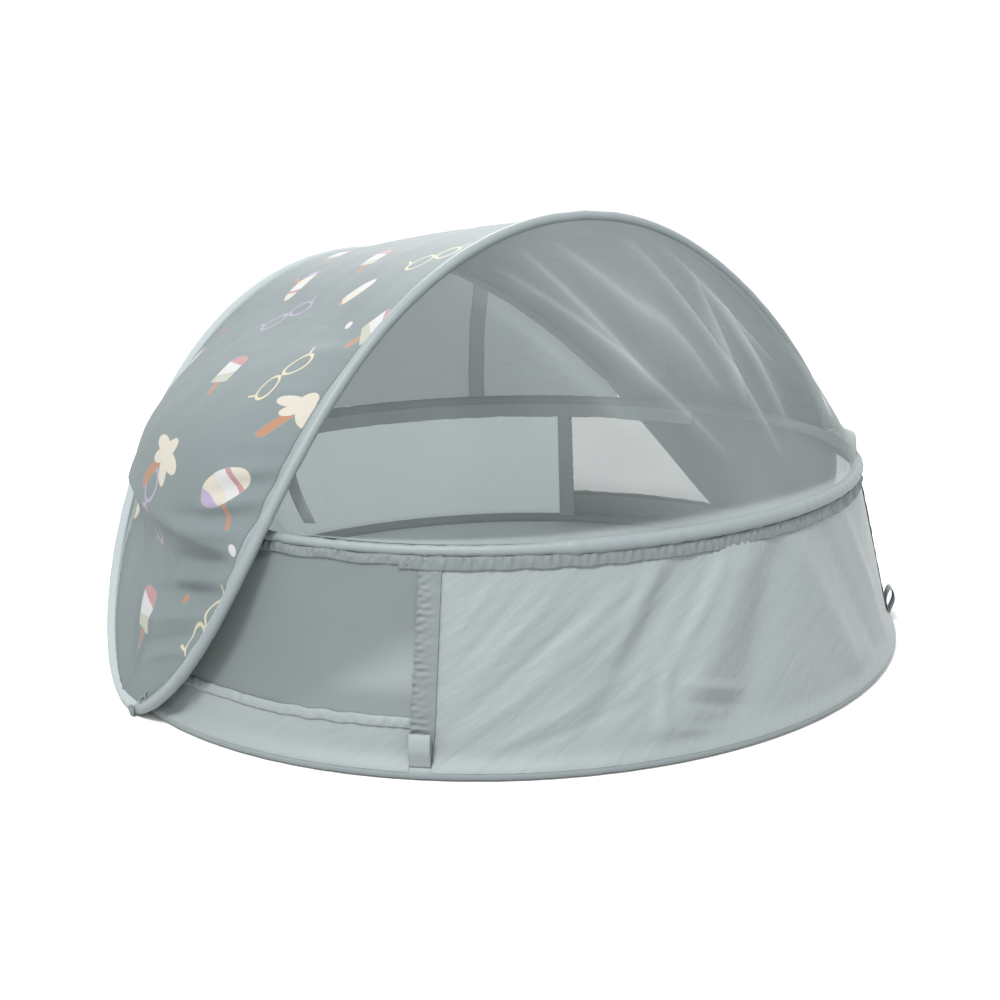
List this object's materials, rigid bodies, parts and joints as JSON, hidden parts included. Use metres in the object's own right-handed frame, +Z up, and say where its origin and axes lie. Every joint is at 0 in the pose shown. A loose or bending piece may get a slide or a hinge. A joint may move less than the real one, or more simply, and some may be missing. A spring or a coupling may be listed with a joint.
{
  "type": "pop-up baby beach tent",
  "caption": "Low pop-up playpen tent with mesh sides, a sprung steel-hoop sun canopy and an insect net closing the front; webbing loops hold it down.",
  "frame": {"origin": "on the ground at the centre of the base hoop", "axes": "+Z up; X through the two feet of the canopy hoop; -Y is the front, where the insect net is"},
  "size_m": [1.2596, 1.1169, 0.626],
  "materials": {
    "pen_cloth": "matt woven polyester, sage grey-blue",
    "mesh_cloth": "fine dense mesh, sage grey-blue",
    "binding": "smooth binding tape round a hoop",
    "gathered_hem": "elasticated, gathered",
    "floor_cloth": "coated polyester, slightly padded look",
    "net": "fine see-through insect net",
    "printed_cloth": "woven polyester with a printed holiday pattern",
    "spring_steel": "bare spring steel wire",
    "crimp_tube": "crimped tube",
    "snap_disc": "round snap cap",
    "webbing": "flat woven webbing",
    "ribbon": "folded ribbon"
  },
  "bodies": {
    "root": {"base_sleeve": "binding", "base_wire": "spring_steel", "base_ferrule": "crimp_tube", "rim_sleeve": "binding", "rim_wire": "spring_steel", "rim_ferrule": "crimp_tube", "floor_sheet": "floor_cloth", "wall_rear": "pen_cloth", "wall_front": "pen_cloth", "mesh_right": "mesh_cloth", "skirt_right": "pen_cloth", "mesh_left": "mesh_cloth", "skirt_left": "pen_cloth", "seam_strip_1": "pen_cloth", "seam_strip_2": "pen_cloth", "seam_strip_3": "pen_cloth", "seam_strip_4": "pen_cloth", "rim_band": "gathered_hem", "net_hem": "gathered_hem", "insect_net": "net", "back_panel": "pen_cloth", "back_band": "pen_cloth"},
    "canopy": {"front_sleeve": "binding", "rear_sleeve": "binding", "canopy_wire": "spring_steel", "canopy_ferrule": "crimp_tube", "canopy_cloth": "printed_cloth", "tack_left": "snap_disc", "tack_right": "snap_disc"},
    "peg_1": {"peg_loop_1": "webbing"},
    "peg_2": {"peg_loop_2": "webbing"},
    "peg_3": {"peg_loop_3": "webbing"},
    "peg_4": {"peg_loop_4": "webbing"},
    "tie": {"ribbon_tie": "ribbon"}
  },
  "joints": [
    {"name": "canopy_tilt", "type": "hinge", "parent": "root", "child": "canopy", "pos_m": [0, 0, 0.0075], "axis": [1, 0, 0], "range_deg": [-4, 4], "stiffness_Nm_per_rad": 120, "deforming": ["insect_net", "back_panel", "back_band"]},
    {"name": "peg_loop_1_fold", "type": "hinge", "parent": "root", "child": "peg_1", "pos_m": [-0.44074, -0.37809, 0.0168], "axis": [0.7128, -0.7014, 0], "range_deg": [0, 80]},
    {"name": "peg_loop_2_fold", "type": "hinge", "parent": "root", "child": "peg_2", "pos_m": [0.44074, -0.37809, 0.0168], "axis": [0.7128, 0.7014, 0], "range_deg": [0, 80]},
    {"name": "peg_loop_3_fold", "type": "hinge", "parent": "root", "child": "peg_3", "pos_m": [0.44074, 0.37809, 0.0168], "axis": [-0.7128, 0.7014, 0], "range_deg": [0, 80]},
    {"name": "peg_loop_4_fold", "type": "hinge", "parent": "root", "child": "peg_4", "pos_m": [-0.44074, 0.37809, 0.0168], "axis": [-0.7128, -0.7014, 0], "range_deg": [0, 80]},
    {"name": "ribbon_tie_swing", "type": "hinge", "parent": "canopy", "child": "tie", "pos_m": [-0.47329, -0.16038, 0.32781], "axis": [0.342, -0.9397, 0], "range_deg": [-4, 30]}
  ]
}
